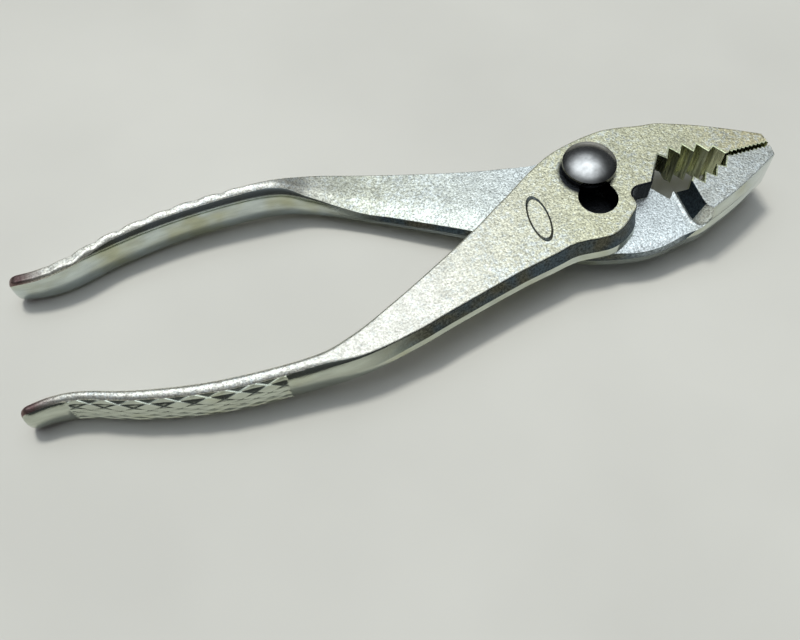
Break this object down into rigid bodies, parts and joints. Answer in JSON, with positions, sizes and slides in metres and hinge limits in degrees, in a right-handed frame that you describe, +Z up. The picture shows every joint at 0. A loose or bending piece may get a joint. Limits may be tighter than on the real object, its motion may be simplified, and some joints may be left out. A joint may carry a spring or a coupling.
{
  "type": "slip joint pliers",
  "caption": "Slip joint pliers: forged crossing halves with flat jaws, a toothed pipe grip, a wire-shearing notch, a domed pivot bolt in a slot with two seats, and curved knurled grips.",
  "frame": {"origin": "on the pivot axis at the foot of the bolt's stud", "axes": "+X along the closed jaws towards the tips, +Y across the flat towards the rear half's handle, +Z up through the joint towards the bolt's head"},
  "size_m": [0.165, 0.0506, 0.0175],
  "materials": {
    "zinc_plate": "bright zinc plate over a granular forged surface, with smoother trimmed edges",
    "bolt_steel": "smooth plated dome with soft grey reflections",
    "nut_steel": "plain zinc-plated hexagon nut"
  },
  "bodies": {
    "rear": {"rear_half": "zinc_plate"},
    "pivot": {"pivot_bolt": "bolt_steel", "pivot_nut": "nut_steel"},
    "front": {"front_half": "zinc_plate"}
  },
  "joints": [
    {"name": "handles_open", "type": "hinge", "parent": "rear", "child": "pivot", "pos_m": [0, 0, 0], "axis": [0, 0, 1], "range_deg": [0, 50]},
    {"name": "slip", "type": "slide", "parent": "pivot", "child": "front", "axis": [0.1392, 0.9903, 0], "range_m": [0, 0.0083]}
  ]
}
